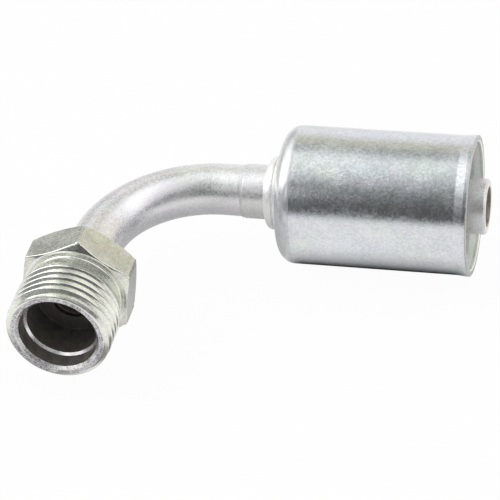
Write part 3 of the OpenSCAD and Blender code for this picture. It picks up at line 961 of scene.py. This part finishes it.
NUT_WEB = 3.4 * MM
NUT_TUBE_GAP = 0.4 * MM
ROWS_PER_PITCH = 32
FIRST_ROW = -1.5                    # pitches from the mouth, so that the rows reach it at each turn
EXTRA_PITCHES = 2
THREADED = 2                        # the places of its finishes after PLATED and BORE_PAINTED
LIP = 3
RELIEF = 4
TURNED_OFF = 5
INNER_LIP = 6

nut_low, nut_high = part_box("swivel_nut")
mouth = nut_low.y
nut_back = nut_high.y
hex_front = nut_back - HEX_LENGTH
thread_end = hex_front - RELIEF_WIDTH
nut_shoulder = nut_back - NUT_WEB
bore_middle = 0.5 * (mouth + nut_shoulder)
groove_flat = THREAD_PITCH / 8
groove_depth = (THREAD_PITCH - 2 * groove_flat) / 2 / math.tan(THREAD_FLANK)
root_radius = THREAD_RADIUS - groove_depth
relief_radius = root_radius - RELIEF_DEPTH
lip_radius = THREAD_RADIUS - THREAD_LEAD_IN
half_flats = ACROSS_FLATS / 2
chamfer_start = half_flats - FRONT_FACE_INSET
corner_centre = (half_flats - HEX_CORNER_ROUND) / math.cos(HALF_SIDE)
rear_edge_radius = half_flats / math.cos(HALF_SIDE) - REAR_CHAMFER


def hex_radius(from_flat):
    """Radius of the hexagon at an angle from the middle of a flat, with rounded corners."""
    from_corner = HALF_SIDE - abs(from_flat)
    reach = corner_centre * math.cos(from_corner)
    inside = HEX_CORNER_ROUND ** 2 - (corner_centre * math.sin(from_corner)) ** 2
    on_flat = half_flats / math.cos(from_flat)
    if inside <= 0:
        return on_flat
    return min(on_flat, reach + math.sqrt(inside))


def lathe_radius(along):
    """Radius that the nut's front end was turned to before the thread was cut."""
    depth = along - mouth
    lead_in = lip_radius + depth
    taper = relief_radius + (thread_end - along) * (THREAD_RADIUS - relief_radius) / groove_depth
    turned = min(lead_in, THREAD_RADIUS, taper)
    if depth < THREAD_LIP_ROUND:
        missing = THREAD_LIP_ROUND - depth
        turned -= THREAD_LIP_ROUND - math.sqrt(THREAD_LIP_ROUND ** 2 - missing ** 2)
    return turned


def softened(height):
    """The height above 0, and 0 below it, with the bend between them rounded."""
    share = max(min(height / THREAD_SOFTNESS, SOFT_LIMIT), -SOFT_LIMIT)
    return THREAD_SOFTNESS * math.log1p(math.exp(share))


def thread_radius(phase):
    """Radius of the endless thread, and how much of a rubbed crest edge it is there. The phase
    counts pitches from the middle of a groove."""
    from_root = abs(phase - round(phase)) * THREAD_PITCH
    rise = softened((from_root - groove_flat / 2) / math.tan(THREAD_FLANK))
    radius = THREAD_RADIUS - softened(groove_depth - rise)
    return radius, math.exp(-((rise - groove_depth) / (2 * THREAD_SOFTNESS)) ** 2)


def nut_column(turn, from_flat):
    """The nut's closed outline at one turn, as (along, radius, edge, skin)."""
    column = rounded([
        (bore_middle, NUT_BORE_RADIUS, 0, BORE_PAINTED),
        (mouth + NUT_MOUTH_CHAMFER, NUT_BORE_RADIUS, NUT_MOUTH_EDGE, INNER_LIP),
        (mouth, NUT_BORE_RADIUS + NUT_MOUTH_CHAMFER, FINE_EDGE, LIP),
        (mouth, lip_radius - THREAD_LIP_ROUND - THREAD_LIP_STEP, 0, LIP),
    ], closed=False)
    first = (turn - THREAD_START) / math.tau
    row_count = ROWS_PER_PITCH * math.ceil((thread_end - mouth) / THREAD_PITCH + EXTRA_PITCHES)
    for row in range(row_count + 1):
        phase = FIRST_ROW + row / ROWS_PER_PITCH
        along = mouth + (phase + first) * THREAD_PITCH
        along = min(max(along, mouth), thread_end)
        cut, crest = thread_radius((along - mouth) / THREAD_PITCH - first)
        turned = lathe_radius(along)
        column.append((along, min(cut, turned), crest if cut < turned else 0.0, THREADED))
    column += rounded([
        (thread_end, relief_radius, 0, RELIEF),
        (hex_front, relief_radius, RELIEF_FILLET, RELIEF),
        (hex_front, chamfer_start, 0, TURNED_OFF),
    ], closed=False)
    reach = hex_radius(from_flat)
    rise = math.tan(FRONT_CHAMFER)
    edge_at = hex_front + (reach - chamfer_start) * rise
    bevel = min(HEX_EDGE, 0.5 * (reach - chamfer_start))
    for part in (0.25, 0.5, 0.75, 1.0):
        radius = chamfer_start + part * (reach - bevel - chamfer_start)
        column.append((hex_front + (radius - chamfer_start) * rise, radius, 0.0, TURNED_OFF))
    column.append((edge_at + 0.05 * bevel, reach - 0.22 * bevel, 1.0, PLATED))
    column.append((edge_at + bevel, reach, 0.3, PLATED))
    rear_radius = min(reach, rear_edge_radius)
    rear_at = nut_back - (reach - rear_radius) * math.tan(REAR_CHAMFER_ANGLE)
    for part in (0.02, 0.33, 0.66, 0.98):
        column.append((edge_at + bevel + part * (rear_at - edge_at - 2 * bevel), reach, 0.0, PLATED))
    column.append((rear_at - HEX_EDGE, reach, 0.3, PLATED))
    column.append((rear_at - 0.1 * HEX_EDGE, reach - 0.25 * HEX_EDGE, 1.0, PLATED))
    column.append((nut_back - 0.15 * HEX_EDGE, rear_radius - 0.5 * HEX_EDGE, 0.6, PLATED))
    column += rounded([
        (nut_back, rear_radius - HEX_EDGE, 0, PLATED),
        (nut_back, tube_radius + NUT_TUBE_GAP, FINE_EDGE, BORE_PAINTED),
        (nut_shoulder, tube_radius + NUT_TUBE_GAP, NUT_SHOULDER_EDGE, BORE_PAINTED),
        (nut_shoulder, NUT_BORE_RADIUS, NUT_CORNER, BORE_PAINTED),
        (bore_middle, NUT_BORE_RADIUS, 0, BORE_PAINTED),
    ], closed=False)
    return column


# Degrees from the middle of a flat, close together at the hexagon's rounded corners.
corner_steps = [30, 29.75, 29.5, 29.25, 29.0, 28.6, 28, 27]
flat_steps = corner_steps + list(range(25, 0, -2))
sector = [-step for step in flat_steps] + [0] + flat_steps[:0:-1]
nut_columns = []
for side in range(6):
    for from_flat in sector:
        turn = HEX_TURN + math.radians(60 * side + 30 + from_flat)
        nut_columns.append((turn, math.radians(from_flat)))
nut_columns.append((HEX_TURN + math.tau, math.radians(-30)))

nut_outlines = [(turn, nut_column(turn, from_flat)) for turn, from_flat in nut_columns]
nut_rings = []
for row in range(len(nut_outlines[0][1])):
    ring = []
    for turn, outline in nut_outlines:
        along, radius, edge, skin = outline[row]
        ring.append((round_nut_axis(along, radius, turn), edge))
    nut_rings.append((ring, skin))
nut_piece = ring_mesh("union_nut", nut_rings)
# Painted light: the first groove's flanks by the mouth take the lighter, rougher relief finish.
for face in nut_piece.data.polygons:
    outside = math.hypot(face.center.x, face.center.z)
    by_mouth = mouth + DULL_LIT_START < face.center.y < mouth + DULL_LIT_LENGTH
    if by_mouth and relief_radius < outside < THREAD_RADIUS - CREST_DEPTH:
        face.material_index = RELIEF
nut_zinc = plated_finish("nut_zinc", {
    "Grain mm": 0.28, "Cloud mm": 3.5, "Film": 0.3, "Metallic": 1.0,
    "Light": (0.65, 0.66, 0.60), "Dark": (0.48, 0.49, 0.44),
    "Smooth": 0.14, "Rough": 0.32,
    **ROUND_NUT, "Lines per mm": 6.0, "Lay": (5.0, 0.5, 5.0),
    "Worn colour": (0.93, 0.93, 0.90), "Edge wear": 0.9,
    "Mark tone": 0.06, "Mark roughness": 0.08,
    "Grain height": 0.8, "Mark height": 0.9, "Scratch height": 0.5,
})
thread_look = {
    "Grain mm": 0.20, "Cloud mm": 3.0, "Film": 0.3, "Metallic": 1.0,
    "Light": (0.82, 0.82, 0.75), "Dark": (0.62, 0.62, 0.56),
    "Smooth": 0.06, "Rough": 0.20,
    **ROUND_NUT, "Lines per mm": 8.0, "Lay": (5.0, 0.5, 5.0),
    "Worn colour": (0.97, 0.97, 0.94), "Edge wear": 0.9,
    "Mark tone": 0.05, "Mark roughness": 0.04,
    "Grain height": 0.35, "Mark height": 0.5, "Scratch height": 0.4,
}
thread_zinc = plated_finish("thread_zinc", thread_look)
relief_zinc = plated_finish("relief_zinc", {
    **thread_look,
    "Grain mm": 0.28, "Metallic": 0.9,
    "Light": (0.86, 0.87, 0.79), "Dark": (0.70, 0.71, 0.64),
    "Smooth": 0.12, "Rough": 0.24, "Lines per mm": 5.0,
    "Mark roughness": 0.06, "Grain height": 0.6, "Mark height": 0.8,
})
chamfer_zinc = plated_finish("chamfer_zinc", {
    **thread_look,
    "Light": (0.74, 0.74, 0.68), "Dark": (0.50, 0.50, 0.45),
    "Smooth": 0.04, "Rough": 0.12,
})
lip_look = {
    "Grain mm": 0.24, "Cloud mm": 3.0, "Film": 0.5, "Metallic": 0.9,
    "Light": (0.76, 0.75, 0.76), "Dark": (0.20, 0.19, 0.20),
    "Smooth": 0.20, "Rough": 0.44,
    **ROUND_NUT, "Lines per mm": 6.0, "Lay": (4.0, 0.5, 4.0),
    "Worn colour": (0.95, 0.95, 0.94), "Edge wear": 0.9,
    "Mark tone": 0.10, "Mark roughness": 0.10,
    "Grain height": 1.6, "Mark height": 0.8, "Scratch height": 0.4,
}
lip_zinc = plated_finish("lip_zinc", lip_look)
inner_lip_zinc = plated_finish("inner_lip_zinc", {
    **lip_look,
    "Film": 0.3, "Metallic": 1.0,
    "Light": (0.86, 0.85, 0.83), "Dark": (0.42, 0.41, 0.40), "Rough": 0.34,
    "Mark tone": 0.06, "Mark roughness": 0.06,
    "Grain height": 0.8, "Mark height": 0.6,
})
for finish in (nut_zinc, bore_steel_painted_shade, thread_zinc, lip_zinc, relief_zinc, chamfer_zinc, inner_lip_zinc):
    nut_piece.data.materials.append(finish)
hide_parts("swivel_nut")
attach(nut_piece, "nut")
